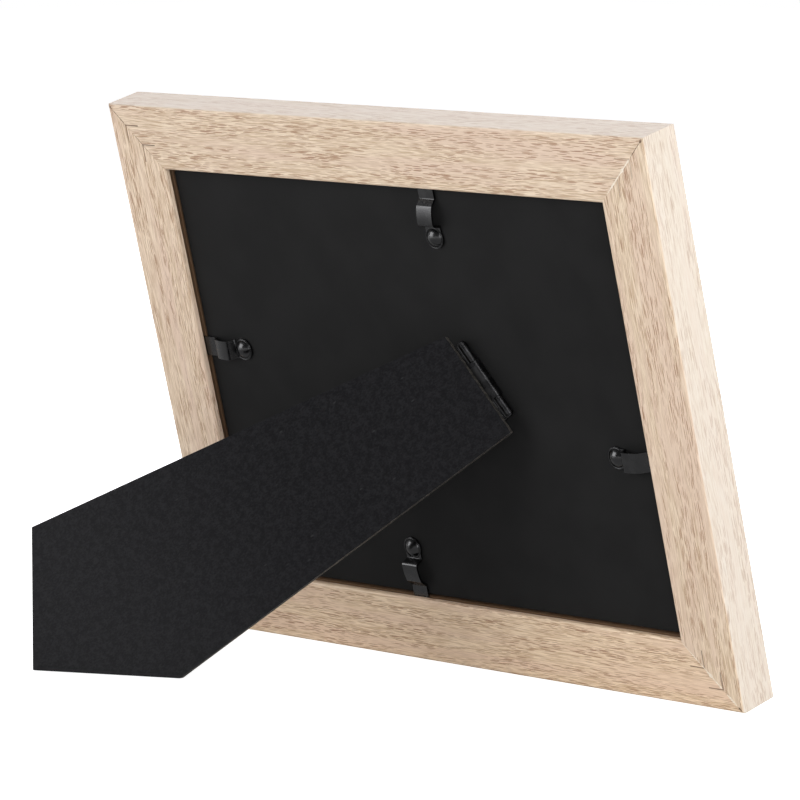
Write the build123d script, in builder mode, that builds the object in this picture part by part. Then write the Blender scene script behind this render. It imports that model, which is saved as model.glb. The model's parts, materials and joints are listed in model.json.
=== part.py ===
from build123d import *
import os
from math import asin, atan2, cos, hypot, radians, sin, tan

os.makedirs("parts", exist_ok=True)

# Easel back photo frame, standing in landscape on the back arris of its bottom rail and on its strut.
# The origin is on the table, under the middle of the frame. +Y is the back, +Z is up.
# Places on the frame are given as seen from behind: u to the right, v up, n out of the back face.
# All lengths are in millimetres and all angles in degrees.

# Print, and the room round it in the rebate
print_length = 180.0
print_height = 130.0
edge_clearance = 0.5
panel_clearance = 1.0

# Layers in the rebate, from the front
lip_thickness = 5.2
glass_thickness = 2.0
insert_thickness = 0.3
panel_thickness = 3.0
panel_recess = 3.0

# Rails
rail_width = 20.0
lip_reach = 5.0
arris_radius = 0.8
arris_wall_share = 0.5

# Edges of the sheets in the rebate
glass_chamfer = 0.3
panel_corner_radius = 1.0

# Corner nails, bent to an L, two across each mitre
nail_sheet = 0.35
nail_leg = 5.5
nail_depth = 8.0
nail_set = 0.1
nail_clearance = 0.02
nail_place_shares = (0.325, 0.62)

# Turn clips: a round end on the panel, a hump, and a tongue in the kerf of the rebate wall
clip_sheet = 0.6
clip_width = 6.0
clip_round_radius = 3.4
clip_play = 0.05
hump_gap = 0.9
hump_rise = 1.0
hump_length = 5.1
hump_fall = 1.9
hump_drop = 0.72
arch_share = 0.8
crest_proud = 0.35
bend_radius = 0.4
tongue_lift = 0.2
tongue_bite = 0.8
tongue_clearance = 0.2
kerf_floor_clearance = 0.5

# Where the clips stand along their sides, and their rivets' distances from the rebate walls
top_clip_u = 18.8
bottom_clip_u = -16.0
left_clip_v = 8.3
right_clip_v = -12.3
top_setback = 15.5
bottom_setback = 15.5
left_setback = 16.7
right_setback = 14.3

# Clip rivets, domed outside and clinched in a countersink at the panel's front
rivet_shank_radius = 1.2
rivet_head_radius = 2.8
rivet_dome = 1.5
dome_rings = 3
clinch_radius = 2.0
clinch_angle = 90.0
clinch_set = 0.1
rivet_clearance = 0.05

# Stance: leans of the frame and opening of the strut
landscape_lean = 15.0
portrait_lean = 15.5
strut_opening = 35.0

# Hinge: middle of its pin, its slant down to the right, its leaves and knuckles
hinge_u = 29.65
hinge_v = 7.85
hinge_slant = 54.5
hinge_width = 25.0
hinge_sheet = 0.6
leaf_length = 14.0
knuckle_diameter = 2.8
pin_clearance = 0.05
knuckle_gap = 0.2
middle_knuckle_share = 0.5
curl_gap = 0.15
stop_clearance = 0.05
pin_head_lip = 0.3
pin_head_length = 0.3
pin_head_bevel = 0.15

# Leaf fasteners, in the same pattern on both leaves, as shares of the leaf's width and length
leaf_fastener_shares = ((-0.3, 0.6), (0.3, 0.6))
leaf_shank_radius = 0.9
leaf_head_radius = 1.8
leaf_head_height = 0.5
tack_reach = 1.8

# Strut board
board_thickness = 2.6
board_top_width = 34.0
board_top_shift = 0.6
board_top_gap = 1.8
board_flare = 12.0
board_corner_radius = 0.4

# Frame sizes that follow
opening_length = print_length + 2 * edge_clearance
opening_height = print_height + 2 * edge_clearance
panel_length = opening_length - 2 * panel_clearance
panel_height = opening_height - 2 * panel_clearance
half_length = opening_length / 2 + rail_width
half_height = opening_height / 2 + rail_width
panel_level = -panel_recess
insert_level = panel_level - panel_thickness
glass_level = insert_level - insert_thickness
lip_level = glass_level - glass_thickness
rail_depth = lip_thickness - lip_level

# Clip sizes that follow: the four clips are alike, and bite as deep as their rivets' places leave them
setbacks = (top_setback, bottom_setback, left_setback, right_setback)
tongue_reach = max(setbacks) + tongue_bite
kerf_width = clip_sheet + 2 * tongue_clearance
kerf_inset = panel_recess - tongue_lift - clip_sheet - tongue_clearance
kerf_depth = hypot(tongue_reach, clip_width / 2) - min(setbacks) + kerf_floor_clearance
crest_level = panel_recess + crest_proud - clip_sheet
rivet_head_level = clip_sheet + 2 * clip_play
hump_start = rivet_head_radius + hump_gap
plateau_start = hump_start + hump_rise
plateau_middle = plateau_start + hump_length / 2
plateau_end = plateau_start + hump_length
arch_turn = atan2(hump_drop, hump_length / 2)
arch_radius = arch_share * hump_length / 2 / tan(arch_turn / 2)

# Hinge sizes that follow: the board's underside lies level with the top of the knuckles
knuckle_radius = knuckle_diameter / 2
bore_radius = knuckle_radius - hinge_sheet
pin_radius = bore_radius - pin_clearance
pin_head_radius = bore_radius + pin_head_lip
middle_knuckle = middle_knuckle_share * (hinge_width - 2 * knuckle_gap)
end_knuckle = (hinge_width - 2 * knuckle_gap - middle_knuckle) / 2
notch_reach = knuckle_radius + knuckle_gap

# Directions in the frame's own (u, v, n)
slant = radians(hinge_slant)
opening = radians(strut_opening)
lean = radians(landscape_lean)
upright_lean = radians(portrait_lean)
pin_line = Vector(cos(slant), -sin(slant), 0)
folded_line = Vector(-sin(slant), -cos(slant), 0)
outward = Vector(0, 0, 1)
strut_line = folded_line * cos(opening) + outward * sin(opening)
strut_face = outward * cos(opening) - folded_line * sin(opening)
hinge_middle = Vector(hinge_u, hinge_v, panel_level + knuckle_radius)


def arris_lift(angle):
    """How far a rounded arris brings a leaning frame down, against a sharp one."""
    return arris_radius * (cos(angle) + sin(angle) - 1)


def foot_line(table_up, half_size, angle):
    """Line a * across + b * along = c where the board's underside meets the table of one stance."""
    table_level = arris_lift(angle) - half_size * cos(angle)
    underside = hinge_middle + strut_face * knuckle_radius
    return table_up.dot(pin_line), table_up.dot(strut_line), table_level - table_up.dot(underside)


# Board corners, across the strut from the middle of the pin and along it from the pin
landscape_up = Vector(0, cos(lean), -sin(lean))
portrait_up = Vector(cos(upright_lean), 0, -sin(upright_lean))
low_a, low_b, low_c = foot_line(landscape_up, half_height, lean)
side_a, side_b, side_c = foot_line(portrait_up, half_length, upright_lean)
top_left = board_top_shift - board_top_width / 2
top_right = board_top_shift + board_top_width / 2
flare_slope = tan(radians(board_flare))
flare_start = top_left + board_top_gap * flare_slope
heel_along = (side_c - side_a * flare_start) / (side_b - side_a * flare_slope)
heel_across = flare_start - heel_along * flare_slope
toe_along = (low_c - low_a * top_right) / low_b
corner_across = (low_c * side_b - side_c * low_b) / (low_a * side_b - side_a * low_b)
corner_along = (low_c - low_a * corner_across) / low_b

# The frame's place in the world: on the table, with the origin under the middle of the whole part
right = Vector(-1, 0, 0)
up = Vector(0, sin(lean), cos(lean))
back_way = Vector(0, cos(lean), -sin(lean))
foot_corner = (
    hinge_middle
    + pin_line * corner_across
    + strut_line * corner_along
    + strut_face * (knuckle_radius + board_thickness)
)
foot_back = foot_corner.Y * sin(lean) + foot_corner.Z * cos(lean)
front_back = arris_lift(lean) - half_height * sin(lean) - rail_depth * cos(lean)
frame_middle = Vector(0, -(foot_back + front_back) / 2, half_height * cos(lean) - arris_lift(lean))


def way(direction):
    """World direction of a direction given in the frame's (u, v, n)."""
    return right * direction.X + up * direction.Y + back_way * direction.Z


def place(point):
    """World place of a point given in the frame's (u, v, n)."""
    return frame_middle + way(point)


back_face = Plane(frame_middle, x_dir=right, z_dir=back_way)

# Each side of the frame: its outward direction, the rebate wall's distance and half the outer run
sides = {
    "top": (Vector(0, 1, 0), opening_height / 2, half_length),
    "bottom": (Vector(0, -1, 0), opening_height / 2, half_length),
    "left": (Vector(-1, 0, 0), opening_length / 2, half_height),
    "right": (Vector(1, 0, 0), opening_length / 2, half_height),
}
corners = {
    "top_left": (-1, 1),
    "top_right": (1, 1),
    "bottom_left": (-1, -1),
    "bottom_right": (1, -1),
}


def nail_path(corner, place_share):
    """Bent line of one corner nail, with its bend on the mitre and its legs along both rails."""
    side_u, side_v = corner
    inset = place_share * rail_width
    bend_u = side_u * (half_length - inset)
    bend_v = side_v * (half_height - inset)
    leg_u = (bend_u - side_u * nail_leg, bend_v)
    leg_v = (bend_u, bend_v - side_v * nail_leg)
    return leg_u, (bend_u, bend_v), leg_v


# Rails: a rebated moulding with a kerf for the clips' tongues, mitred at both ends
rail_outline = (
    (rail_width, -rail_depth),
    (-lip_reach, -rail_depth),
    (-lip_reach, lip_level),
    (0, lip_level),
    (0, -kerf_inset - kerf_width),
    (kerf_depth, -kerf_inset - kerf_width),
    (kerf_depth, -kerf_inset),
    (0, -kerf_inset),
    (0, 0),
    (rail_width, 0),
)
inner_arris_radius = min(arris_radius, arris_wall_share * kerf_inset)

for side, (out_way, wall, half_run) in sides.items():
    run_way = out_way.cross(outward)
    section = Plane(place(out_way * wall), x_dir=way(out_way), z_dir=way(run_way))
    with BuildPart() as rail:
        with BuildSketch(section):
            with BuildLine():
                Polyline(*rail_outline, close=True)
            make_face()
            fillet(vertices().group_by(Axis.Y)[-1].sort_by(Axis.X)[0], inner_arris_radius)
            outer_arrises = vertices().group_by(Axis.X)[-1]
            lip_arris = vertices().group_by(Axis.X)[0].sort_by(Axis.Y)[:1]
            fillet(outer_arrises + lip_arris, arris_radius)
        extrude(amount=half_run, both=True)
        for end in (-1, 1):
            mitre_corner = out_way * (wall + rail_width) + run_way * (end * half_run)
            mitre = Plane(place(mitre_corner), x_dir=back_way, z_dir=way(run_way * end - out_way))
            split(bisect_by=mitre, keep=Keep.BOTTOM)
        with BuildSketch(back_face):
            for corner in corners.values():
                for place_share in nail_place_shares:
                    with BuildLine() as slot_line:
                        Polyline(*nail_path(corner, place_share))
                    trace(slot_line.line, line_width=nail_sheet + 2 * nail_clearance)
        extrude(amount=-(nail_set + nail_depth + nail_clearance), mode=Mode.SUBTRACT)
    rail.part.label = f"{side}_rail"
    export_step(rail.part, f"parts/{side}_rail.step")

# Corner nails, driven a little below the back face
for corner_name, corner in corners.items():
    with BuildPart() as nails:
        for place_share in nail_place_shares:
            with BuildSketch(back_face.offset(-nail_set)):
                with BuildLine() as nail_line:
                    Polyline(*nail_path(corner, place_share))
                trace(nail_line.line, line_width=nail_sheet)
            extrude(amount=-nail_depth)
    nails.part.label = f"corner_nails_{corner_name}"
    export_step(nails.part, f"parts/corner_nails_{corner_name}.step")

# Glazing sheet, with its edges eased
with BuildPart() as glass:
    with BuildSketch(back_face.offset(lip_level)):
        Rectangle(print_length, print_height)
    extrude(amount=glass_thickness)
    chamfer(glass.edges(), glass_chamfer)
glass.part.label = "glazing_sheet"
export_step(glass.part, "parts/glazing_sheet.step")

# Print insert, a plain sheet
with BuildPart() as insert:
    with BuildSketch(back_face.offset(glass_level)):
        Rectangle(print_length, print_height)
    extrude(amount=insert_thickness)
insert.part.label = "print_insert"
export_step(insert.part, "parts/print_insert.step")

# Rivet places of the clips, and of the leaf fasteners as across and along on the hinge
clip_places = {
    "top": Vector(top_clip_u, opening_height / 2 - top_setback, panel_level),
    "bottom": Vector(bottom_clip_u, bottom_setback - opening_height / 2, panel_level),
    "left": Vector(left_setback - opening_length / 2, left_clip_v, panel_level),
    "right": Vector(opening_length / 2 - right_setback, right_clip_v, panel_level),
}
fastener_places = []
for across_share, along_share in leaf_fastener_shares:
    fastener_places.append((across_share * hinge_width, along_share * leaf_length))
leaf_rivet_places = []
for across, along in fastener_places:
    foot = hinge_middle + pin_line * across + folded_line * along
    leaf_rivet_places.append(Vector(foot.X, foot.Y, panel_level))

# Rivet sizes that follow
clinch_slope = tan(radians(clinch_angle / 2))
sink_radius = clinch_radius + clinch_set * clinch_slope + 2 * rivet_clearance
foot_level = clinch_set - panel_thickness
dome_top = rivet_head_level + rivet_dome
dome_radius = (rivet_head_radius**2 + rivet_dome**2) / (2 * rivet_dome)
dome_angle = asin(rivet_head_radius / dome_radius)

# Back panel, with countersunk holes for the clip rivets and plain ones for the leaf rivets
with BuildPart() as panel:
    with BuildSketch(back_face.offset(insert_level)):
        RectangleRounded(panel_length, panel_height, panel_corner_radius)
    extrude(amount=panel_thickness)
    panel_front = Plane(back_face.offset(insert_level).origin, x_dir=right, z_dir=-back_way)
    with Locations(panel_front):
        with Locations(*[(spot.X, -spot.Y) for spot in clip_places.values()]):
            CounterSinkHole(
                rivet_shank_radius + rivet_clearance,
                sink_radius,
                counter_sink_angle=clinch_angle,
            )
        with Locations(*[(spot.X, -spot.Y) for spot in leaf_rivet_places]):
            Hole(leaf_shank_radius + rivet_clearance)
panel.part.label = "back_panel"
export_step(panel.part, "parts/back_panel.step")

# Turn clips: bent strip with a round end, free to turn on its rivet
clip_path = (
    (0, clip_play),
    (hump_start, clip_play),
    (plateau_start, crest_level),
    (plateau_middle, crest_level),
    (plateau_end, crest_level - hump_drop),
    (plateau_end + hump_fall, tongue_lift),
    (tongue_reach, tongue_lift),
)
hollow_bend = bend_radius + clip_sheet
clip_bends = (hollow_bend, bend_radius, arch_radius, bend_radius, hollow_bend)

for side, (out_way, _, _) in sides.items():
    spot = clip_places[side]
    clip_foot = Plane(place(spot), x_dir=way(out_way), z_dir=back_way)
    clip_section = Plane(place(spot), x_dir=way(out_way), z_dir=way(out_way.cross(outward)))
    with BuildPart() as clip:
        with BuildSketch(clip_section):
            with BuildLine():
                FilletPolyline(*clip_path, radius=clip_bends)
                offset(amount=clip_sheet, side=Side.LEFT)
            make_face()
        extrude(amount=clip_width / 2, both=True)
        with BuildSketch(clip_foot.offset(clip_play)):
            Circle(clip_round_radius)
        extrude(amount=clip_sheet)
        with BuildSketch(clip_foot):
            Circle(rivet_shank_radius + rivet_clearance)
        extrude(amount=rivet_head_level, mode=Mode.SUBTRACT)
    clip.part.label = f"turn_clip_{side}"
    export_step(clip.part, f"parts/turn_clip_{side}.step")

# Clip rivets: each dome is stepped in a few rings, which keeps its facets few
clip_rivet_outline = [
    (0, foot_level),
    (clinch_radius, foot_level),
    (rivet_shank_radius, foot_level + (clinch_radius - rivet_shank_radius) / clinch_slope),
    (rivet_shank_radius, rivet_head_level),
]
for ring in reversed(range(dome_rings + 1)):
    ring_angle = dome_angle * (2 * ring + 1) / (2 * dome_rings + 1)
    ring_level = dome_top - dome_radius * (1 - cos(ring_angle))
    clip_rivet_outline.append((dome_radius * sin(ring_angle), ring_level))
clip_rivet_outline.append((0, ring_level))

for side, (out_way, _, _) in sides.items():
    spot = clip_places[side]
    rivet_section = Plane(place(spot), x_dir=way(out_way), z_dir=way(out_way.cross(outward)))
    with BuildPart() as rivet:
        with BuildSketch(rivet_section):
            with BuildLine():
                Polyline(*clip_rivet_outline, close=True)
            make_face()
        revolve(axis=Axis(place(spot), back_way))
    rivet.part.label = f"clip_rivet_{side}"
    export_step(rivet.part, f"parts/clip_rivet_{side}.step")

# Hinge sections: square to the pin, x up the panel or up the strut, y away from them
panel_section = Plane(place(hinge_middle), x_dir=way(-folded_line), z_dir=way(pin_line))
strut_section = Plane(place(hinge_middle), x_dir=way(-strut_line), z_dir=way(pin_line))
strut_plane = Plane(place(hinge_middle), x_dir=way(pin_line), z_dir=way(strut_face))


def knuckle_profile(leaf_side):
    """Rolled knuckle and the neck that joins it to its leaf, which lies at leaf_side of the pin."""
    neck_level = leaf_side * (knuckle_radius - hinge_sheet / 2)
    slit_level = leaf_side * (bore_radius - curl_gap / 2)
    Circle(knuckle_radius)
    with Locations((-notch_reach / 2, neck_level)):
        Rectangle(notch_reach, hinge_sheet)
    Circle(bore_radius, mode=Mode.SUBTRACT)
    with Locations((-knuckle_radius / 2, slit_level)):
        Rectangle(knuckle_radius, curl_gap, mode=Mode.SUBTRACT)


# Panel leaf: lies on the panel under the strut, with the two end knuckles
with BuildPart() as panel_leaf:
    with BuildSketch(panel_section.offset(-hinge_width / 2)):
        with Locations((-(notch_reach + leaf_length) / 2, hinge_sheet / 2 - knuckle_radius)):
            Rectangle(leaf_length - notch_reach, hinge_sheet)
    extrude(amount=hinge_width)
    for start in (-hinge_width / 2, hinge_width / 2 - end_knuckle):
        with BuildSketch(panel_section.offset(start)):
            knuckle_profile(-1)
        extrude(amount=end_knuckle)
    with BuildSketch(Plane(place(hinge_middle), x_dir=way(pin_line), z_dir=back_way)):
        with Locations(*[(across, -along) for across, along in fastener_places]):
            Circle(leaf_shank_radius + rivet_clearance)
    extrude(amount=-knuckle_radius, mode=Mode.SUBTRACT)
panel_leaf.part.label = "hinge_panel_leaf"
export_step(panel_leaf.part, "parts/hinge_panel_leaf.step")

# Strut leaf: lies under the board, with the middle knuckle squared to stop on the panel when open
with BuildPart() as strut_leaf:
    with BuildSketch(strut_section.offset(-hinge_width / 2)):
        with Locations((-(notch_reach + leaf_length) / 2, knuckle_radius - hinge_sheet / 2)):
            Rectangle(leaf_length - notch_reach, hinge_sheet)
    extrude(amount=hinge_width)
    with BuildSketch(strut_section.offset(-middle_knuckle / 2)):
        knuckle_profile(1)
    extrude(amount=middle_knuckle)
    with BuildSketch(panel_section.offset(-middle_knuckle / 2)):
        with Locations((knuckle_radius / 2, (stop_clearance - knuckle_radius) / 2)):
            Rectangle(knuckle_radius, knuckle_radius - stop_clearance)
        Circle(bore_radius, mode=Mode.SUBTRACT)
    extrude(amount=middle_knuckle)
    with BuildSketch(strut_plane):
        with Locations(*[(across, -along) for across, along in fastener_places]):
            Circle(leaf_shank_radius + rivet_clearance)
    extrude(amount=knuckle_radius, mode=Mode.SUBTRACT)
strut_leaf.part.label = "hinge_strut_leaf"
export_step(strut_leaf.part, "parts/hinge_strut_leaf.step")

# Hinge pin, peened over both end knuckles
with BuildPart() as pin:
    with BuildSketch(panel_section.offset(-hinge_width / 2 - knuckle_gap)):
        Circle(pin_radius)
    extrude(amount=hinge_width + 2 * knuckle_gap)
    for start in (-hinge_width / 2 - knuckle_gap - pin_head_length, hinge_width / 2 + knuckle_gap):
        with BuildSketch(panel_section.offset(start)):
            Circle(pin_head_radius)
        extrude(amount=pin_head_length)
    pin_ends = pin.faces().sort_by(Axis(place(hinge_middle), way(pin_line)))
    chamfer(pin_ends[0].edges() + pin_ends[-1].edges(), pin_head_bevel)
pin.part.label = "hinge_pin"
export_step(pin.part, "parts/hinge_pin.step")

# Panel leaf rivets, through the leaf and the panel, with bevelled heads
bevel_radius = leaf_head_radius - leaf_head_height
with BuildPart() as leaf_rivets:
    for spot in leaf_rivet_places:
        with BuildSketch(Plane(place(spot), x_dir=way(-folded_line), z_dir=way(pin_line))):
            with BuildLine():
                Polyline(
                    (0, hinge_sheet + leaf_head_height),
                    (0, foot_level),
                    (leaf_shank_radius, foot_level),
                    (leaf_shank_radius, hinge_sheet),
                    (leaf_head_radius, hinge_sheet),
                    (bevel_radius, hinge_sheet + leaf_head_height),
                    close=True,
                )
            make_face()
        revolve(axis=Axis(place(spot), back_way))
leaf_rivets.part.label = "panel_leaf_rivets"
export_step(leaf_rivets.part, "parts/panel_leaf_rivets.step")

# Strut leaf tacks, pointed and blind in the board
tack_head_level = knuckle_radius - hinge_sheet
tack_tip = hinge_sheet + tack_reach
with BuildPart() as tacks:
    for across, along in fastener_places:
        spot = hinge_middle + pin_line * across + strut_line * along + strut_face * tack_head_level
        with BuildSketch(Plane(place(spot), x_dir=way(-strut_line), z_dir=way(pin_line))):
            with BuildLine():
                Polyline(
                    (0, -leaf_head_height),
                    (0, tack_tip),
                    (leaf_shank_radius, tack_tip - leaf_shank_radius),
                    (leaf_shank_radius, 0),
                    (leaf_head_radius, 0),
                    (bevel_radius, -leaf_head_height),
                    close=True,
                )
            make_face()
        revolve(axis=Axis(place(spot), way(strut_face)))
tacks.part.label = "strut_leaf_tacks"
export_step(tacks.part, "parts/strut_leaf_tacks.step")

# Strut board: one edge square to the hinge, one flared, and two foot cuts, one for each stance
board_corners = (
    (top_left, -board_top_gap),
    (heel_across, -heel_along),
    (corner_across, -corner_along),
    (top_right, -toe_along),
    (top_right, -board_top_gap),
)
with BuildPart() as board:
    with BuildSketch(strut_plane.offset(knuckle_radius)):
        with BuildLine():
            Polyline(*board_corners, close=True)
        make_face()
        fillet(vertices(), board_corner_radius)
    extrude(amount=board_thickness)
    board_face = place(hinge_middle + strut_face * knuckle_radius)
    underside = Plane(board_face, x_dir=way(pin_line), z_dir=way(-strut_face))
    with Locations(underside):
        with Locations(*fastener_places):
            Hole(leaf_shank_radius + rivet_clearance, depth=tack_reach + rivet_clearance)
board.part.label = "easel_strut"
export_step(board.part, "parts/easel_strut.step")
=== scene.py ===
"""Looks of an easel back photo frame: oak rails, black panel, turn clips and a hinged strut.

Places on the frame are given as seen from behind: u to the right, v up and n out of the back face.
"""

import json
import logging
import math
from dataclasses import dataclass
from enum import Enum
from typing import Any

import bmesh
import bpy
from mathutils import Matrix, Vector, noise


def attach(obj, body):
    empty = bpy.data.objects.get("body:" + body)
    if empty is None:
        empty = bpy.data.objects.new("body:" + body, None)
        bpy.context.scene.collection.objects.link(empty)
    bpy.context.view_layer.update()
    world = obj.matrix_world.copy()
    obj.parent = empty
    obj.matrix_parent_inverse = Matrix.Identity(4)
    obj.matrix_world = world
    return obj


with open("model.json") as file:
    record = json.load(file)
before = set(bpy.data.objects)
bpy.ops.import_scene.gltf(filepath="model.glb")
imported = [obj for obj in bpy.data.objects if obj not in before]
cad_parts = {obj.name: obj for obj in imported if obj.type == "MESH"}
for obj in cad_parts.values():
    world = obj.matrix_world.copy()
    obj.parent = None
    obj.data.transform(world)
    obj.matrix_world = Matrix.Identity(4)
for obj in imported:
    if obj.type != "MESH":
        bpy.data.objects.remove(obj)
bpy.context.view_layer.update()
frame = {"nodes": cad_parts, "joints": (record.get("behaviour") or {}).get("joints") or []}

logger = logging.getLogger("photo_frame")

MM = 0.001
WHITE = (1.0, 1.0, 1.0, 1.0)
NOISE_RANGE = (0.3, 0.7)
WELD_DISTANCE = 0.001 * MM
ROUNDING_STEPS = 2

Tone = tuple[float, float, float]
Triple = tuple[float, float, float]
Span = tuple[float, float]
Socket = bpy.types.NodeSocket
Value = Any


def rgba(tone: Tone) -> tuple[float, float, float, float]:
    """Gives a tone with full alpha."""
    return (*tone, 1.0)


class Run(Enum):
    """Direction that a rail's grain follows."""

    LENGTH = "length"
    HEIGHT = "height"


class Corner(Enum):
    """Corner of the frame, as signs of u and v."""

    TOP_LEFT = (-1, 1)
    TOP_RIGHT = (1, 1)
    BOTTOM_LEFT = (-1, -1)
    BOTTOM_RIGHT = (1, -1)


class Seam(Enum):
    """What shows in a mitre: the open joint, or the paste that fills it."""

    OPEN = "open"
    FILLED = "filled"


@dataclass(frozen=True)
class Stance:
    """Middle, directions and half sizes of the leaning frame."""

    middle: Vector
    right: Vector
    up: Vector
    back: Vector
    half_length: float
    half_height: float

    def place(self, u: float, v: float, n: float = 0.0) -> Vector:
        """World place of a point on the frame."""
        return self.middle + self.right * u + self.up * v + self.back * n

    def grain_rows(self, run: Run) -> Matrix:
        """Rotation from the world to along, across and depth of a rail.

        Args:
            run: Direction that the rail's grain follows.

        Returns:
            The rotation, with its rows along, across and out of the back.
        """
        if run is Run.LENGTH:
            return Matrix((self.right, self.up, self.back))
        return Matrix((self.up, -self.right, self.back))


def find_joint(name: str) -> dict[str, Any]:
    """Gives a joint of the frame by its name."""
    return next(joint for joint in frame["joints"] if joint["name"] == name)


def read_stance() -> Stance:
    """Reads the frame's directions from a clip's axis and its sizes from the rails.

    Returns:
        The stance of the frame at rest.
    """
    back = Vector(find_joint("clip_top_turn")["axis"]).normalized()
    right = Vector((-1.0, 0.0, 0.0))
    up = back.cross(right)
    spots = [
        Vector((spot.co.dot(right), spot.co.dot(up), spot.co.dot(back)))
        for name in ("top_rail", "bottom_rail", "left_rail", "right_rail")
        for spot in frame["nodes"][name].data.vertices
    ]
    low = Vector([min(spot[axis] for spot in spots) for axis in range(3)])
    high = Vector([max(spot[axis] for spot in spots) for axis in range(3)])
    centre = (low + high) / 2
    return Stance(
        middle=right * centre.x + up * centre.y + back * high.z,
        right=right,
        up=up,
        back=back,
        half_length=(high.x - low.x) / 2,
        half_height=(high.y - low.y) / 2,
    )


class Graph:
    """Node tree of a material or a world, with short calls that add nodes and link them."""

    def __init__(self, owner: bpy.types.Material | bpy.types.World) -> None:
        """Starts an empty tree.

        Args:
            owner: Material or world that the tree belongs to.
        """
        owner.use_nodes = True
        self.owner = owner
        self.tree = owner.node_tree
        self.tree.nodes.clear()

    @classmethod
    def of_material(cls, name: str) -> "Graph":
        """Starts the tree of a new material."""
        return cls(bpy.data.materials.new(name))

    def add(self, kind: str, inputs: dict[Any, Value] | None = None, **settings: Any) -> bpy.types.Node:
        """Adds a node.

        Args:
            kind: Type of the node.
            inputs: Value or linked socket for each input, by name or number.
            **settings: Properties of the node.

        Returns:
            The new node.
        """
        made = self.tree.nodes.new(kind)
        for key, value in settings.items():
            setattr(made, key, value)
        for key, value in (inputs or {}).items():
            if isinstance(value, bpy.types.NodeSocket):
                self.tree.links.new(value, made.inputs[key])
            else:
                made.inputs[key].default_value = value
        return made

    def sum_up(self, operation: str, first: Value, second: Value = 0.0) -> Socket:
        """Result of a Math node on two values."""
        return self.add("ShaderNodeMath", {0: first, 1: second}, operation=operation).outputs[0]

    def stretch(self, spot: Socket, scales: Triple) -> Socket:
        """Coordinates times a scale along each axis."""
        node = self.add("ShaderNodeVectorMath", {0: spot, 1: scales}, operation="MULTIPLY")
        return node.outputs[0]

    def clouds(self, spot: Socket, scale: float, detail: float = 2.0, roughness: float = 0.5) -> Socket:
        """Factor of a noise texture."""
        inputs = {"Vector": spot, "Scale": scale, "Detail": detail, "Roughness": roughness}
        return self.add("ShaderNodeTexNoise", inputs).outputs[0]

    def ease(self, value: Socket, low: float, high: float, start: float = 0.0, end: float = 1.0) -> Socket:
        """Value brought smoothly from low..high to start..end."""
        inputs = {"Value": value, "From Min": low, "From Max": high, "To Min": start, "To Max": end}
        return self.add("ShaderNodeMapRange", inputs, interpolation_type="SMOOTHSTEP").outputs[0]

    def mix(self, share: Value, first: Value, second: Value, blend: str = "MIX") -> Socket:
        """Two colours mixed by a share."""
        inputs = {0: share, 6: first, 7: second}
        return self.add("ShaderNodeMix", inputs, data_type="RGBA", blend_type=blend).outputs[2]

    def object_spot(self, rows: Matrix, middle: Vector, shift: Triple = (0.0, 0.0, 0.0)) -> Socket:
        """Millimetre coordinates in a turned frame that moves with the piece.

        Args:
            rows: Rotation from the world to the turned frame.
            middle: World place of its origin.
            shift: Extra offset in millimetres, so that like pieces differ.

        Returns:
            The coordinates.
        """
        location = Vector(shift) - rows @ middle / MM
        inputs = {
            "Vector": self.add("ShaderNodeTexCoord").outputs["Object"],
            "Location": location,
            "Rotation": rows.to_euler(),
            "Scale": (1 / MM, 1 / MM, 1 / MM),
        }
        return self.add("ShaderNodeMapping", inputs, vector_type="POINT").outputs[0]

    def frame_spot(self, stance: Stance) -> Socket:
        """Millimetre coordinates along u, v and n of the frame, which move with the piece."""
        return self.object_spot(stance.grain_rows(Run.LENGTH), stance.middle)

    def mirrored_ray(self, path: bpy.types.bpy_prop_collection) -> Socket:
        """Whether a ray comes off a gloss or through glass, from the outputs of a Light Path node."""
        return self.sum_up("MAXIMUM", path["Is Glossy Ray"], path["Is Transmission Ray"])

    def facing(self, way: Vector) -> Socket:
        """How far the surface faces a direction of the piece, from -1 to 1."""
        normal = self.add("ShaderNodeTexCoord").outputs["Normal"]
        return self.add("ShaderNodeVectorMath", {0: normal, 1: way}, operation="DOT_PRODUCT").outputs["Value"]

    def bump(self, height: Socket, depth: float, strength: float = 1.0) -> Socket:
        """Normal disturbed by a height, with the depth in metres."""
        inputs = {"Height": height, "Distance": depth, "Strength": strength}
        return self.add("ShaderNodeBump", inputs).outputs[0]

    def close(self, inputs: dict[str, Value]) -> bpy.types.Material:
        """Ends the tree in a Principled shader.

        Args:
            inputs: Value or linked socket for each of the shader's inputs.

        Returns:
            The finished material.
        """
        shader = self.add("ShaderNodeBsdfPrincipled", inputs)
        self.add("ShaderNodeOutputMaterial", {"Surface": shader.outputs[0]})
        return self.owner


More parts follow.
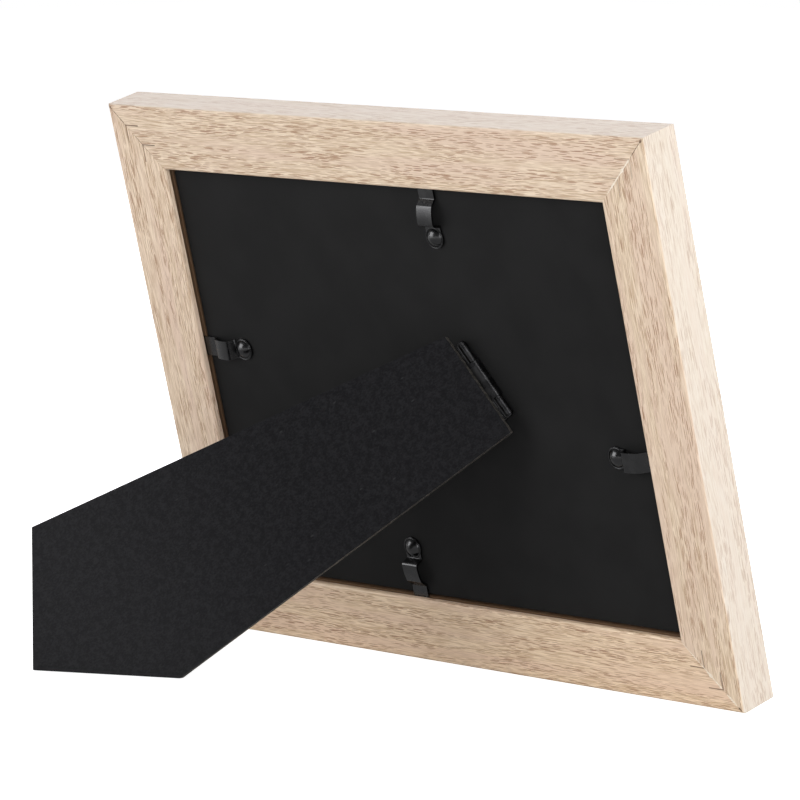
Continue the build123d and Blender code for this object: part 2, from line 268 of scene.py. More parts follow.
@dataclass(frozen=True)
class OakFinish:
    """Pale oak with fine brown pores, a painted paler sheen on the outer faces and painted dark shade on the
    rebate walls; lengths in millimetres.
    """

    name: str = "pale_oak"
    pale: Tone = (0.822, 0.688, 0.534)
    deep: Tone = (0.568, 0.422, 0.286)
    blush: Tone = (0.715, 0.552, 0.438)
    pore: Tone = (0.330, 0.175, 0.095)
    # The tone below is a painted sheen: a paler, whiter colour on the outward faces in place of the glancing
    # reflection of the bright surroundings.
    painted_sheen: Tone = (0.735, 0.675, 0.590)
    painted_sheen_share: float = 0.75
    pore_share: float = 0.86
    pore_cover: float = 0.64
    # The tone below is painted shade: a near-black brown on the rebate walls below the kerf, where the light
    # does not reach.
    edge_fibre_and_rebate_shade: Tone = (0.110, 0.053, 0.022)
    rebate_shade_share: float = 0.92
    rebate_shade_facing: Span = (0.3, 0.6)
    painted_sheen_facing: Span = (0.6, 0.9)
    painted_sheen_spread: float = 0.15
    pore_length: float = 5.4
    pore_width: float = 0.29
    pore_edge: Span = (0.43, 0.38)
    pore_depth: float = 0.05
    crowd_scale: float = 2.3
    crowd_range: Span = (0.36, 0.60)
    crowd_least: float = 0.15
    fibre_length: float = 7.0
    fibre_width: float = 0.34
    fibre_height: float = 0.3
    streak_range: Span = (0.34, 0.66)
    band_length: float = 70.0
    band_width: float = 5.0
    blush_range: Span = (0.42, 0.66)
    blush_share: float = 0.7
    drift: float = 1.5
    drift_scales: Triple = (0.016, 0.09, 0.09)
    rail_shift: Triple = (311.0, 97.0, 53.0)
    kerf_depth: float = 2.0
    kerf_fade: Span = (0.2, 0.05)
    lip_depth: float = 8.0
    lip_fade: float = 0.2
    roughness: float = 0.44
    fibre_gloss: Span = (0.08, -0.06)
    specular: float = 0.4
    bump_strength: float = 0.35

    @staticmethod
    def along_grain(length: float, width: float) -> Triple:
        """Scales of a pattern whose marks lie along the grain, from their length and width."""
        return (1 / length, 1 / width, 1 / width)

    def grain_spot(self, graph: Graph, rows: Matrix, middle: Vector, number: int) -> Socket:
        """Coordinates along, across and through the grain, which drifts a little from straight.

        Args:
            graph: Tree that the nodes go into.
            rows: Rotation from the world to along, across and depth.
            middle: World place of the frame's middle.
            number: Number of the rail, which sets its own stretch of grain.

        Returns:
            The coordinates.
        """
        shift = tuple(step * number for step in self.rail_shift)
        spot = graph.object_spot(rows, middle, shift)
        wander = graph.clouds(graph.stretch(spot, self.drift_scales), 1.0, 1.0)
        push = graph.sum_up("MULTIPLY", graph.sum_up("SUBTRACT", wander, 0.5), 2 * self.drift)
        offset = graph.add("ShaderNodeCombineXYZ", {"Y": push, "Z": push}).outputs[0]
        return graph.add("ShaderNodeVectorMath", {0: spot, 1: offset}, operation="ADD").outputs[0]

    def painted_rebate_shade(self, graph: Graph, stance: Stance, outward: Vector) -> Socket:
        """Share of painted shade: on the rebate walls, from the kerf down to the lip, where the light does
        not reach.
        """
        inside = graph.ease(graph.facing(outward), *self.rebate_shade_facing, self.rebate_shade_share, 0.0)
        spot = graph.frame_spot(stance)
        depth = graph.add("ShaderNodeSeparateXYZ", {0: spot}).outputs["Z"]
        start, end = (fade - self.kerf_depth for fade in self.kerf_fade)
        below = graph.ease(depth, start, end)
        above = graph.ease(depth, -self.lip_depth - self.lip_fade, -self.lip_depth)
        return graph.sum_up("MULTIPLY", inside, graph.sum_up("MULTIPLY", below, above))

    def material(
        self, stance: Stance, run: Run, outward: Vector, number: int, tint: Tone
    ) -> bpy.types.Material:
        """Makes the oak of one rail.

        Args:
            stance: Stance of the frame.
            run: Direction that the grain follows.
            outward: Direction from the frame's middle to the rail.
            number: Number of the rail, which sets its own stretch of grain.
            tint: Shade of the rail's own board.

        Returns:
            The material.
        """
        graph = Graph.of_material(f"{self.name}_{number}")
        spot = self.grain_spot(graph, stance.grain_rows(run), stance.middle, number)
        fibre_spot = graph.stretch(spot, self.along_grain(self.fibre_length, self.fibre_width))
        band_spot = graph.stretch(spot, self.along_grain(self.band_length, self.band_width))
        pore_spot = graph.stretch(spot, self.along_grain(self.pore_length, self.pore_width))
        fibre = graph.clouds(fibre_spot, 1.0, 3.0, 0.6)
        bands = graph.clouds(band_spot, 1.0)
        cells = graph.add("ShaderNodeTexVoronoi", {"Vector": pore_spot, "Scale": 1.0})
        patches = graph.clouds(band_spot, self.crowd_scale)
        crowd = graph.ease(patches, *self.crowd_range, self.crowd_least, 1.0)
        dashes = graph.ease(cells.outputs["Distance"], *self.pore_edge)
        pores = graph.sum_up("MULTIPLY", dashes, crowd)
        # Painted sheen: the outward faces are mixed towards a paler tone, patchy along the fibre, in place of
        # reflected light.
        thin, thick = self.painted_sheen_share - self.painted_sheen_spread, self.painted_sheen_share + self.painted_sheen_spread
        patchy = graph.ease(fibre, *NOISE_RANGE, thin, thick)
        painted_sheen_mask = graph.sum_up("MULTIPLY", graph.ease(graph.facing(outward), *self.painted_sheen_facing), patchy)
        unsheened = graph.sum_up("SUBTRACT", 1.0, painted_sheen_mask)
        streaks = graph.mix(graph.ease(fibre, *self.streak_range), rgba(self.deep), rgba(self.pale))
        flushed = graph.ease(bands, *self.blush_range, 0.0, self.blush_share)
        blushed = graph.mix(flushed, streaks, rgba(self.blush))
        board = graph.mix(1.0, blushed, rgba(tint), "MULTIPLY")
        sheened = graph.mix(painted_sheen_mask, board, rgba(self.painted_sheen))
        # Pores show less under the painted sheen.
        shown = graph.ease(painted_sheen_mask, 0.0, 1.0, self.pore_share, self.pore_share * (1 - self.pore_cover))
        lined = graph.mix(graph.sum_up("MULTIPLY", pores, shown), sheened, rgba(self.pore))
        # Painted shade on the rebate walls, from the kerf down to the lip.
        colour = graph.mix(self.painted_rebate_shade(graph, stance, outward), lined, rgba(self.edge_fibre_and_rebate_shade))
        dips = graph.sum_up("MULTIPLY", pores, unsheened)
        height = graph.sum_up("SUBTRACT", graph.sum_up("MULTIPLY", fibre, self.fibre_height), dips)
        dull, bright = (self.roughness + change for change in self.fibre_gloss)
        return graph.close(
            {
                "Base Color": colour,
                "Roughness": graph.ease(fibre, *NOISE_RANGE, dull, bright),
                "Specular IOR Level": self.specular,
                "Normal": graph.bump(height, self.pore_depth * MM, self.bump_strength),
            }
        )


@dataclass(frozen=True)
class BlackPanelFinish:
    """Smooth matt black facing of the back panel; lengths in millimetres."""

    name: str = "matt_black_panel"
    tone: Tone = (0.0120, 0.0120, 0.0121)
    light_tone: Tone = (0.0140, 0.0140, 0.0141)
    cloud_scale: float = 0.06
    cloud_range: Span = (0.35, 0.65)
    tooth_scale: float = 4.0
    tooth_depth: float = 0.02
    roughness: float = 0.58
    rough_spread: float = 0.05
    specular: float = 0.08
    bump_strength: float = 0.35

    def material(self, stance: Stance) -> bpy.types.Material:
        """Makes the black facing, with a faint cloudiness and a fine tooth."""
        graph = Graph.of_material(self.name)
        spot = graph.frame_spot(stance)
        cloud = graph.ease(graph.clouds(spot, self.cloud_scale, 3.0), *self.cloud_range)
        tooth = graph.clouds(spot, self.tooth_scale)
        smooth, rough = self.roughness - self.rough_spread, self.roughness + self.rough_spread
        return graph.close(
            {
                "Base Color": graph.mix(cloud, rgba(self.tone), rgba(self.light_tone)),
                "Roughness": graph.ease(tooth, *NOISE_RANGE, smooth, rough),
                "Specular IOR Level": self.specular,
                "Normal": graph.bump(tooth, self.tooth_depth * MM, self.bump_strength),
            }
        )


@dataclass(frozen=True)
class FibreboardFinish:
    """Black fibreboard, mottled and paler towards its foot, with bare brown fibre on its edges; in
    millimetres.
    """

    name: str = "black_fibreboard"
    tone: Tone = (0.0047, 0.0047, 0.0056)
    mottle: Tone = (0.0109, 0.0109, 0.0123)
    fleck: Tone = (0.021, 0.021, 0.022)
    foot: Tone = (0.0074, 0.0074, 0.0076)
    foot_reach: Span = (50.0, 150.0)
    edge: Tone = (0.032, 0.030, 0.028)
    edge_fleck: Tone = (0.150, 0.138, 0.122)
    edge_facing: Span = (0.55, 0.97)
    felt_scale: float = 0.48
    fine_scale: float = 2.4
    fine_stretch: Triple = (1.0, 0.6, 1.0)
    fine_share: float = 0.50
    mottle_range: Span = (0.41, 0.61)
    fleck_scales: Triple = (0.30, 0.12, 0.30)
    fleck_edge: Span = (0.10, 0.03)
    crumb_scale: float = 1.9
    crumb_range: Span = (0.46, 0.66)
    roughness: float = 0.66
    fine_gloss: Span = (0.06, -0.08)
    specular: float = 0.12
    felt_depth: float = 0.06
    bump_strength: float = 0.5

    def material(self, rows: Matrix, middle: Vector) -> bpy.types.Material:
        """Makes the board.

        Args:
            rows: Rotation from the world to across, along and out of the board.
            middle: World place on the board that the pattern starts from.

        Returns:
            The material.
        """
        graph = Graph.of_material(self.name)
        spot = graph.object_spot(rows, middle)
        felt = graph.clouds(spot, self.felt_scale, 4.0, 0.65)
        fine = graph.clouds(graph.stretch(spot, self.fine_stretch), self.fine_scale, 3.0, 0.6)
        blend = graph.add("ShaderNodeMix", {0: self.fine_share, 2: felt, 3: fine}).outputs[0]
        mottled = graph.mix(graph.ease(blend, *self.mottle_range), rgba(self.tone), rgba(self.mottle))
        strewn = graph.stretch(spot, self.fleck_scales)
        cells = graph.add("ShaderNodeTexVoronoi", {"Vector": strewn, "Scale": 1.0})
        flecks = graph.ease(cells.outputs["Distance"], *self.fleck_edge)
        along = graph.add("ShaderNodeSeparateXYZ", {0: spot}).outputs["Y"]
        # The face is paler towards the foot.
        toward_foot = graph.ease(graph.sum_up("ABSOLUTE", along), *self.foot_reach)
        paled = graph.mix(toward_foot, mottled, rgba(self.foot), "ADD")
        face = graph.mix(flecks, paled, rgba(self.fleck))
        crumbs = graph.ease(graph.clouds(spot, self.crumb_scale, 3.0, 0.7), *self.crumb_range)
        # Bare brown fibre on the board's edges, its own colour.
        edge_fibre_and_rebate_shade = graph.mix(crumbs, rgba(self.edge), rgba(self.edge_fleck))
        flat = graph.sum_up("ABSOLUTE", graph.facing(rows[2]))
        colour = graph.mix(graph.ease(flat, *self.edge_facing, 1.0, 0.0), face, edge_fibre_and_rebate_shade)
        dull, bright = (self.roughness + change for change in self.fine_gloss)
        return graph.close(
            {
                "Base Color": colour,
                "Roughness": graph.ease(fine, *NOISE_RANGE, dull, bright),
                "Specular IOR Level": self.specular,
                "Normal": graph.bump(blend, self.felt_depth * MM, self.bump_strength),
            }
        )


@dataclass(frozen=True)
class SteelFinish:
    """Smooth dark steel with a soft gloss, a little brighter and duller in places."""

    name: str
    tone: Tone
    patchy: Tone
    roughness: float
    metallic: float = 1.0
    patch_scale: float = 0.35
    worn_range: Span = (0.40, 0.70)
    gloss_spread: Span = (-0.03, 0.04)

    def material(self, stance: Stance) -> bpy.types.Material:
        """Makes the steel."""
        graph = Graph.of_material(self.name)
        spot = graph.frame_spot(stance)
        patches = graph.clouds(spot, self.patch_scale)
        patchy = graph.ease(patches, *self.worn_range)
        bright, dull = (self.roughness + change for change in self.gloss_spread)
        return graph.close(
            {
                "Base Color": graph.mix(patchy, rgba(self.tone), rgba(self.patchy)),
                "Metallic": self.metallic,
                "Roughness": graph.ease(patches, *NOISE_RANGE, bright, dull),
            }
        )


@dataclass(frozen=True)
class GlassFinish:
    """Clear float glass with a faint green body."""

    name: str = "clear_glass"
    tint: Tone = (0.955, 0.985, 0.970)
    ior: float = 1.5
    smear_scale: float = 0.05
    smear_roughness: float = 0.02

    def material(self, stance: Stance) -> bpy.types.Material:
        """Makes the glass, with a slight unevenness in its polish."""
        graph = Graph.of_material(self.name)
        spot = graph.frame_spot(stance)
        smear = graph.clouds(spot, self.smear_scale)
        return graph.close(
            {
                "Base Color": rgba(self.tint),
                "Roughness": graph.ease(smear, *NOISE_RANGE, 0.0, self.smear_roughness),
                "IOR": self.ior,
                "Transmission Weight": 1.0,
            }
        )


@dataclass(frozen=True)
class PaperFinish:
    """Plain uncoated sheet with a faint fibre; lengths in millimetres."""

    name: str = "plain_paper"
    tone: Tone = (0.80, 0.79, 0.76)
    shade: Tone = (0.74, 0.73, 0.70)
    fibre_scale: float = 1.4
    fibre_depth: float = 0.02
    roughness: float = 0.8
    specular: float = 0.25
    bump_strength: float = 0.3

    def material(self, stance: Stance) -> bpy.types.Material:
        """Makes the paper."""
        graph = Graph.of_material(self.name)
        spot = graph.frame_spot(stance)
        fibre = graph.clouds(spot, self.fibre_scale, 4.0, 0.6)
        return graph.close(
            {
                "Base Color": graph.mix(graph.ease(fibre, *NOISE_RANGE), rgba(self.shade), rgba(self.tone)),
                "Roughness": self.roughness,
                "Specular IOR Level": self.specular,
                "Normal": graph.bump(fibre, self.fibre_depth * MM, self.bump_strength),
            }
        )


@dataclass(frozen=True)
class SeamFinish:
    """Uneven line in a mitre: dark where open, pale where paste fills it; in millimetres."""

    name: str
    tone: Tone
    other: Tone
    crumb_scale: float = 1.6
    crumb_range: Span = (0.35, 0.65)
    crumb_depth: float = 0.03
    roughness: float = 0.75
    specular: float = 0.2
    bump_strength: float = 0.5

    def material(self, stance: Stance) -> bpy.types.Material:
        """Makes the seam."""
        graph = Graph.of_material(self.name)
        spot = graph.frame_spot(stance)
        crumbs = graph.clouds(spot, self.crumb_scale, 3.0, 0.6)
        share = graph.ease(crumbs, *self.crumb_range)
        return graph.close(
            {
                "Base Color": graph.mix(share, rgba(self.tone), rgba(self.other)),
                "Roughness": self.roughness,
                "Specular IOR Level": self.specular,
                "Normal": graph.bump(crumbs, self.crumb_depth * MM, self.bump_strength),
            }
        )


def dress(name: str, material: bpy.types.Material) -> bpy.types.Object:
    """Gives a solid its material.

    Args:
        name: Name of the solid.
        material: Finish of the solid.

    Returns:
        The solid's object.
    """
    node = frame["nodes"][name]
    node.data.materials.clear()
    node.data.materials.append(material)
    logger.info("dressed %s in %s", name, material.name)
    return node


def ease_edges(node: bpy.types.Object, width: float, angle: float = 35.0) -> None:
    """Rounds a solid's sharp edges with modifiers.

    Args:
        node: Object to round.
        width: Width of the rounding, in metres.
        angle: Least angle, in degrees, of an edge that is rounded.
    """
    weld = node.modifiers.new("weld", "WELD")
    weld.merge_threshold = WELD_DISTANCE
    bevel = node.modifiers.new("rounding", "BEVEL")
    bevel.width = width
    bevel.segments = ROUNDING_STEPS
    bevel.limit_method = "ANGLE"
    bevel.angle_limit = math.radians(angle)
    bevel.use_clamp_overlap = True
    node.modifiers.new("even_normals", "WEIGHTED_NORMAL")


def new_piece(name: str, built: bmesh.types.BMesh, material: bpy.types.Material) -> bpy.types.Object:
    """Makes an object from a mesh.

    Args:
        name: Name of the piece.
        built: Mesh in world coordinates, which is freed.
        material: Finish of the piece.

    Returns:
        The new object.
    """
    bmesh.ops.recalc_face_normals(built, faces=built.faces)
    mesh = bpy.data.meshes.new(name)
    built.to_mesh(mesh)
    built.free()
    mesh.materials.append(material)
    piece = bpy.data.objects.new(name, mesh)
    bpy.context.scene.collection.objects.link(piece)
    return piece


def join_rings(
    built: bmesh.types.BMesh, before: list[bmesh.types.BMVert], after: list[bmesh.types.BMVert]
) -> list[bmesh.types.BMFace]:
    """Adds the band of faces between two rings.

    Args:
        built: Mesh that the faces go into.
        before: Points of the first ring.
        after: As many points of the next ring.

    Returns:
        The new faces.
    """
    faces = []
    for index in range(len(before)):
        other = (index + 1) % len(before)
        faces.append(built.faces.new((before[index], before[other], after[other], after[index])))
    return faces


@dataclass
class MitreSeam:
    """Thin uneven line along part of one mitre, over the back face and its arris; lengths in metres."""

    corner: Corner
    kind: Seam
    start_share: float
    end_share: float
    width: float
    rail_width: float = 20 * MM
    arris_radius: float = 0.8 * MM
    proud: float = 0.02 * MM
    sunk: float = 0.03 * MM
    steps: int = 28
    end_taper: float = 0.02
    wobble_scales: Triple = (9.0, 3.7, 11.0)
    wobble_share: float = 1.2
    least_share: float = 0.3
    top_share: float = 0.6

    def half_width(self, share: float) -> float:
        """Half the line's width at a share of its length, uneven and tapered to its ends."""
        taper = math.sin(math.pi * min(max(share, self.end_taper), 1 - self.end_taper)) ** 0.5
        spot = (share, self.corner.value[0], self.start_share)
        wobble = noise.noise(Vector([part * scale for part, scale in zip(spot, self.wobble_scales)]))
        return self.width / 2 * taper * max(1 + self.wobble_share * wobble, self.least_share)

    def level(self, stance: Stance, spot: Vector) -> float:
        """Height of the rails' surface at a place near the mitre, against the back face.

        Args:
            stance: Stance of the frame.
            spot: The place, as u and v.

        Returns:
            The height, which is below zero on the rounded arris.
        """
        inset = min(stance.half_length - abs(spot.x), stance.half_height - abs(spot.y))
        short = min(max(self.arris_radius - inset, 0.0), self.arris_radius)
        return math.sqrt(self.arris_radius**2 - short**2) - self.arris_radius

    def build(self, stance: Stance, material: bpy.types.Material) -> bpy.types.Object:
        """Builds the line as a thin closed strip.

        Args:
            stance: Stance of the frame.
            material: Finish of the line.

        Returns:
            The piece, riding on the frame.
        """
        side_u, side_v = self.corner.value
        along = Vector((-side_u, -side_v)).normalized()
        across = Vector((-along.y, along.x))
        outer = Vector((side_u * stance.half_length, side_v * stance.half_height))
        length = self.rail_width * math.sqrt(2)
        section = (
            (-1, -self.sunk),
            (1, -self.sunk),
            (self.top_share, self.proud),
            (-self.top_share, self.proud),
        )
        built = bmesh.new()
        rings = []
        for step in range(self.steps + 1):
            share = step / self.steps
            place = outer + along * length * (self.start_share + share * (self.end_share - self.start_share))
            half = self.half_width(share)
            ring = []
            for side, lift in section:
                spot = place + across * half * side
                ring.append(built.verts.new(stance.place(spot.x, spot.y, self.level(stance, spot) + lift)))
            rings.append(ring)
        for before, after in zip(rings, rings[1:]):
            join_rings(built, before, after)
        built.faces.new(rings[0])
        built.faces.new(rings[-1][::-1])
        name = f"mitre_{self.kind.value}_{self.corner.name.lower()}_{round(self.start_share * 100)}"
        piece = new_piece(name, built, material)
        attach(piece, "frame")
        logger.info("built %s", name)
        return piece


@dataclass
class Moulding:
    """The four mitred rails, their corner nails and the lines in their mitres."""

    stance: Stance
    oak: OakFinish = OakFinish()
    open_seam: SeamFinish = SeamFinish("open_mitre", (0.12, 0.075, 0.045), (0.22, 0.15, 0.10))
    paste: SeamFinish = SeamFinish("mitre_paste", (0.87, 0.80, 0.70), (0.74, 0.64, 0.52))
    nail: SteelFinish = SteelFinish("brown_nail", (0.190, 0.115, 0.070), (0.330, 0.225, 0.150), 0.6, 0.0)
    pasted_nail: SteelFinish = SteelFinish("pasted_nail", (0.47, 0.35, 0.25), (0.60, 0.47, 0.35), 0.7, 0.0)
    pasted_corner: Corner = Corner.TOP_RIGHT
    seams: tuple[MitreSeam, ...] = (
        MitreSeam(Corner.TOP_LEFT, Seam.OPEN, 0.010, 0.08, 1.00 * MM),
        MitreSeam(Corner.TOP_LEFT, Seam.OPEN, 0.06, 0.34, 0.30 * MM),
        MitreSeam(Corner.TOP_LEFT, Seam.OPEN, 0.44, 0.78, 0.15 * MM),
        MitreSeam(Corner.TOP_RIGHT, Seam.OPEN, 0.012, 0.08, 0.85 * MM),
        MitreSeam(Corner.TOP_RIGHT, Seam.OPEN, 0.07, 0.30, 0.22 * MM),
        MitreSeam(Corner.TOP_RIGHT, Seam.FILLED, 0.34, 0.58, 0.95 * MM),
        MitreSeam(Corner.TOP_RIGHT, Seam.FILLED, 0.56, 0.88, 0.60 * MM),
        MitreSeam(Corner.BOTTOM_RIGHT, Seam.OPEN, 0.03, 0.09, 0.70 * MM),
        MitreSeam(Corner.BOTTOM_RIGHT, Seam.FILLED, 0.10, 0.26, 0.70 * MM),
        MitreSeam(Corner.BOTTOM_RIGHT, Seam.FILLED, 0.34, 0.62, 1.05 * MM),
        MitreSeam(Corner.BOTTOM_RIGHT, Seam.FILLED, 0.58, 0.96, 0.42 * MM),
        MitreSeam(Corner.BOTTOM_LEFT, Seam.OPEN, 0.06, 0.40, 0.24 * MM),
    )

    def dress_rails(self) -> None:
        """Gives each rail its own stretch of oak."""
        rails = {
            "top_rail": (Run.LENGTH, self.stance.up, (0.98, 0.975, 0.97)),
            "bottom_rail": (Run.LENGTH, -self.stance.up, (1.05, 1.01, 0.96)),
            "left_rail": (Run.HEIGHT, -self.stance.right, (1.01, 1.0, 1.0)),
            "right_rail": (Run.HEIGHT, self.stance.right, (0.99, 0.99, 0.98)),
        }
        for number, (name, (run, outward, tint)) in enumerate(rails.items(), start=1):
            dress(name, self.oak.material(self.stance, run, outward, number, tint))

    def dress_nails(self) -> None:
        """Gives the corner nails their steel, which paste hides at one corner."""
        steel = self.nail.material(self.stance)
        pasted = self.pasted_nail.material(self.stance)
        for corner in Corner:
            finish = pasted if corner is self.pasted_corner else steel
            dress(f"corner_nails_{corner.name.lower()}", finish)

    def build_seams(self) -> None:
        """Builds the lines in the mitres."""
        finishes = {
            Seam.OPEN: self.open_seam.material(self.stance),
            Seam.FILLED: self.paste.material(self.stance),
        }
        for seam in self.seams:
            seam.build(self.stance, finishes[seam.kind])

    def build(self) -> None:
        """Builds and dresses the whole moulding."""
        self.dress_rails()
        self.dress_nails()
        self.build_seams()


@dataclass
class PicturePack:
    """Glass, print and back panel that lie in the rebate."""

    stance: Stance
    glass: GlassFinish = GlassFinish()
    paper: PaperFinish = PaperFinish()
    panel: BlackPanelFinish = BlackPanelFinish()

    def build(self) -> None:
        """Dresses the three sheets."""
        dress("glazing_sheet", self.glass.material(self.stance))
        dress("print_insert", self.paper.material(self.stance))
        dress("back_panel", self.panel.material(self.stance))


@dataclass
class TurnClips:
    """The four turn clips with the rims on their round ends, and their domed rivets; lengths in metres."""

    stance: Stance
    sides: tuple[str, ...] = ("top", "bottom", "left", "right")
    edge_rounding: float = 0.12 * MM
    head_rounding: float = 0.08 * MM
    rim_radius: float = 3.10 * MM
    rim_tube: float = 0.15 * MM
    rim_lift: float = 0.05 * MM
    rim_steps: int = 64
    tube_steps: int = 10
    steel: SteelFinish = SteelFinish("black_clip_steel", (0.074, 0.074, 0.076), (0.083, 0.083, 0.085), 0.25)

    def sheet_level(self, side: str, middle: Vector) -> float:
        """Height of a clip's round end over a place on its axis.

        Args:
            side: Side of the frame that the clip holds.
            middle: World place on the clip's axis.

        Returns:
            The height of the sheet's outer face.
        """
        back = self.stance.back
        offsets = [spot.co - middle for spot in frame["nodes"][f"turn_clip_{side}"].data.vertices]
        reach = self.rim_radius + 2 * self.rim_tube
        near = [offset.dot(back) for offset in offsets if offset.cross(back).length < reach]
        return max(near)

    def build_rim(self, side: str, steel: bpy.types.Material) -> bpy.types.Object:
        """Builds the thin pressed rim on a clip's round end.

        Args:
            side: Side of the frame that the clip holds.
            steel: Finish of the clips.

        Returns:
            The piece, riding on the clip.
        """
        middle = Vector(find_joint(f"clip_{side}_turn")["pos_m"])
        level = self.sheet_level(side, middle) + self.rim_lift
        built = bmesh.new()
        rings = []
        for step in range(self.rim_steps):
            angle = math.tau * step / self.rim_steps
            out = self.stance.right * math.cos(angle) + self.stance.up * math.sin(angle)
            ring = []
            for part in range(self.tube_steps):
                turned = math.tau * part / self.tube_steps
                reach = self.rim_radius + self.rim_tube * math.cos(turned)
                height = level + self.rim_tube * math.sin(turned)
                ring.append(built.verts.new(middle + out * reach + self.stance.back * height))
            rings.append(ring)
        for step, before in enumerate(rings):
            for face in join_rings(built, before, rings[(step + 1) % self.rim_steps]):
                face.smooth = True
        rim = new_piece(f"clip_rim_{side}", built, steel)
        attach(rim, f"clip_{side}")
        logger.info("built %s", rim.name)
        return rim

    def build(self) -> None:
        """Dresses the clips and rivets, rounds their edges and adds the rims."""
        steel = self.steel.material(self.stance)
        for side in self.sides:
            ease_edges(dress(f"turn_clip_{side}", steel), self.edge_rounding)
            ease_edges(dress(f"clip_rivet_{side}", steel), self.head_rounding)
            self.build_rim(side, steel)


@dataclass
class EaselStrut:
    """The strut board and the hinge that carries it; lengths in metres."""

    stance: Stance
    edge_rounding: float = 0.25 * MM
    leaf_rounding: float = 0.04 * MM
    board: FibreboardFinish = FibreboardFinish()
    steel: SteelFinish = SteelFinish("dark_hinge", (0.082, 0.082, 0.086), (0.125, 0.125, 0.130), 0.27)

    def board_rows(self) -> tuple[Matrix, Vector]:
        """Directions of the board, read from its fold and its largest face.

        Returns:
            Rotation from the world to across, along and out of the board, and the pin's middle.
        """
        fold = find_joint("strut_fold")
        across = Vector(fold["axis"]).normalized()
        faces = frame["nodes"]["easel_strut"].data.polygons
        out = max(faces, key=lambda face: face.area).normal.normalized()
        return Matrix((across, out.cross(across), out)), Vector(fold["pos_m"])

    def build(self) -> None:
        """Dresses the board and the hinge."""
        rows, middle = self.board_rows()
        board = dress("easel_strut", self.board.material(rows, middle))
        ease_edges(board, self.edge_rounding)
        steel = self.steel.material(self.stance)
        for name in ("hinge_panel_leaf", "hinge_strut_leaf"):
            ease_edges(dress(name, steel), self.leaf_rounding)
        for name in ("hinge_pin", "panel_leaf_rivets", "strut_leaf_tacks"):
            dress(name, steel)


@dataclass(frozen=True)
class Lamp:
    """One soft lamp: its direction from the object, distance, size, power, tone and if a gloss shows it."""

    name: str
    way: Triple
    distance: float
    size: float
    power: float
    tone: Tone = (1.0, 1.0, 1.0)
    mirrored: bool = True

    def build(self, target: Vector) -> bpy.types.Object:
        """Builds the lamp, turned to its target.

        Args:
            target: World place that the lamp looks at.

        Returns:
            The lamp.
        """
        data = bpy.data.lights.new(self.name, "AREA")
        data.shape = "SQUARE"
        data.size = self.size
        data.energy = self.power
        data.color = self.tone
        lamp = bpy.data.objects.new(self.name, data)
        bpy.context.scene.collection.objects.link(lamp)
        way = Vector(self.way).normalized()
        lamp.location = target + way * self.distance
        lamp.rotation_euler = (-way).to_track_quat("-Z", "Y").to_euler()
        lamp.visible_camera = False
        lamp.visible_glossy = self.mirrored
        return lamp


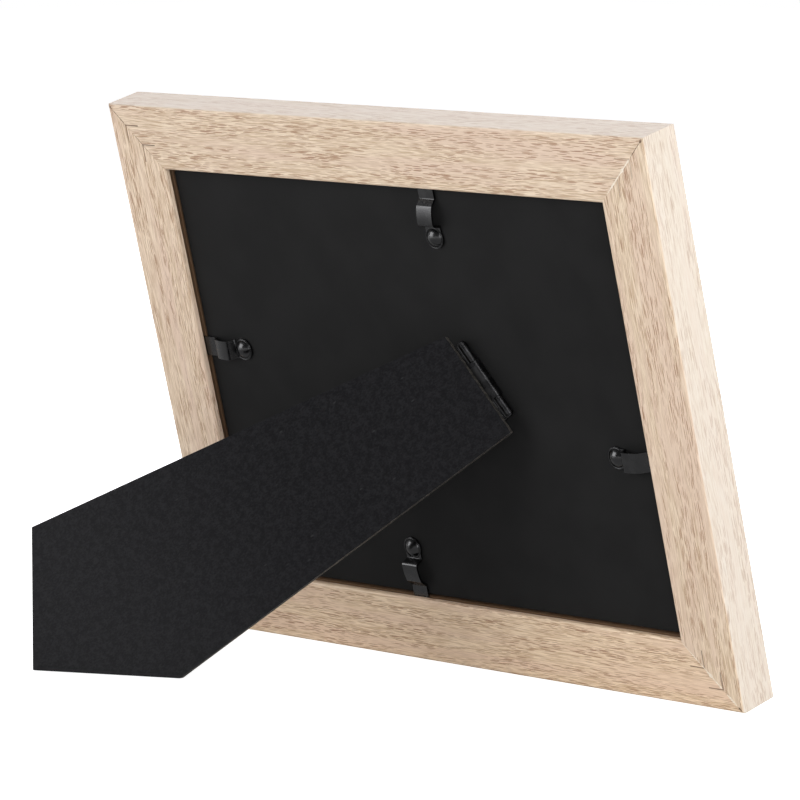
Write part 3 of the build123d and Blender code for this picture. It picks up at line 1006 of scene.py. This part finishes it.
@dataclass
class Studio:
    """White surroundings, pale floor, soft lamps and the camera; lengths in metres."""

    floor_half: float = 4.0
    floor_tone: Tone = (0.78, 0.78, 0.78)
    floor_glow: float = 0.82
    near_glow: float = 0.38
    far_glow: float = 1.0
    glow_reach: Span = (0.15, 0.80)
    ambient: float = 0.25
    near_side: float = 0.12
    backdrop_reach: Span = (-0.15, 0.45)
    camera_place: Triple = (-1.04206, 1.01442, 0.25261)
    camera_way: Triple = (0.7067, -0.6980, -0.1155)
    camera_up: Triple = (0.0834, -0.0798, 0.9933)
    camera_lens: float = 226.62
    camera_sensor: float = 36.0
    camera_range: Span = (0.05, 50.0)
    lamps: tuple[Lamp, ...] = (
        Lamp("key_lamp", (0.82, 1.09, 0.24), 2.2, 1.60, 29.5),
        Lamp("side_lamp", (-0.95, 0.20, 0.25), 1.3, 0.90, 9.6),
        Lamp("fill_lamp", (-0.70, 0.70, 0.25), 1.6, 1.00, 8.5, mirrored=False),
        Lamp("top_lamp", (0.0, -0.55, 1.0), 1.4, 0.90, 9.2, (0.91, 0.865, 1.0)),
        Lamp("front_lamp", (0.5, -1.0, 0.45), 2.0, 1.20, 12.0, mirrored=False),
    )

    def build_floor(self) -> None:
        """Builds the pale floor, which keeps the object's shadow and shines in a gloss mostly from afar."""
        graph = Graph.of_material("pale_floor")
        path = graph.add("ShaderNodeLightPath").outputs
        glow = graph.sum_up("MULTIPLY", path["Is Camera Ray"], self.floor_glow)
        light = graph.add("ShaderNodeEmission", {"Color": WHITE, "Strength": glow})
        matt = graph.add("ShaderNodeBsdfDiffuse", {"Color": rgba(self.floor_tone)})
        lit = graph.add("ShaderNodeAddShader", {0: light.outputs[0], 1: matt.outputs[0]})
        spot = graph.add("ShaderNodeTexCoord").outputs["Object"]
        distance = graph.add("ShaderNodeVectorMath", {0: spot}, operation="LENGTH").outputs["Value"]
        shine = graph.ease(distance, *self.glow_reach, self.near_glow, self.far_glow)
        afar = graph.add("ShaderNodeEmission", {"Color": WHITE, "Strength": shine})
        mirrored = graph.mirrored_ray(path)
        sides = {0: mirrored, 1: lit.outputs[0], 2: afar.outputs[0]}
        both = graph.add("ShaderNodeMixShader", sides)
        graph.add("ShaderNodeOutputMaterial", {"Surface": both.outputs[0]})
        built = bmesh.new()
        bmesh.ops.create_grid(built, x_segments=1, y_segments=1, size=self.floor_half)
        floor = new_piece("pale_floor", built, graph.owner)

    def build_world(self) -> None:
        """Makes the surroundings white to the eye and plain to the surfaces."""
        world = bpy.data.worlds.new("white_studio")
        bpy.context.scene.world = world
        graph = Graph(world)
        path = graph.add("ShaderNodeLightPath").outputs
        mirrored = graph.mirrored_ray(path)
        way = graph.add("ShaderNodeTexCoord").outputs["Generated"]
        depth = graph.add("ShaderNodeSeparateXYZ", {0: way}).outputs["Y"]
        backdrop = graph.ease(depth, *self.backdrop_reach, 1.0, self.near_side)
        seen = graph.sum_up("MAXIMUM", path["Is Camera Ray"], graph.sum_up("MULTIPLY", mirrored, backdrop))
        strength = graph.sum_up("MAXIMUM", seen, graph.ease(mirrored, 0.0, 1.0, self.ambient, 0.0))
        light = graph.add("ShaderNodeBackground", {"Color": WHITE, "Strength": strength})
        graph.add("ShaderNodeOutputWorld", {"Surface": light.outputs[0]})

    def build_camera(self) -> None:
        """Sets the camera at the viewing angle."""
        data = bpy.data.cameras.new("view")
        data.sensor_fit = "HORIZONTAL"
        data.sensor_width = self.camera_sensor
        data.lens = self.camera_lens
        data.clip_start, data.clip_end = self.camera_range
        camera = bpy.data.objects.new("view", data)
        bpy.context.scene.collection.objects.link(camera)
        back = -Vector(self.camera_way).normalized()
        right = Vector(self.camera_up).cross(back).normalized()
        rows = Matrix((right, back.cross(right), back))
        camera.matrix_world = Matrix.Translation(self.camera_place) @ rows.transposed().to_4x4()
        bpy.context.scene.camera = camera

    def build(self, target: Vector) -> None:
        """Builds the whole studio.

        Args:
            target: World place that the lamps look at.
        """
        self.build_floor()
        self.build_world()
        for lamp in self.lamps:
            lamp.build(target)
        self.build_camera()
        bpy.context.scene.view_settings.view_transform = "Standard"


def main() -> None:
    """Builds every sub-assembly in order, then the studio."""
    logging.basicConfig(level=logging.INFO, format="%(message)s")
    stance = read_stance()
    Moulding(stance).build()
    PicturePack(stance).build()
    TurnClips(stance).build()
    EaselStrut(stance).build()
    Studio().build(stance.middle)


if __name__ == "__main__":
    main()
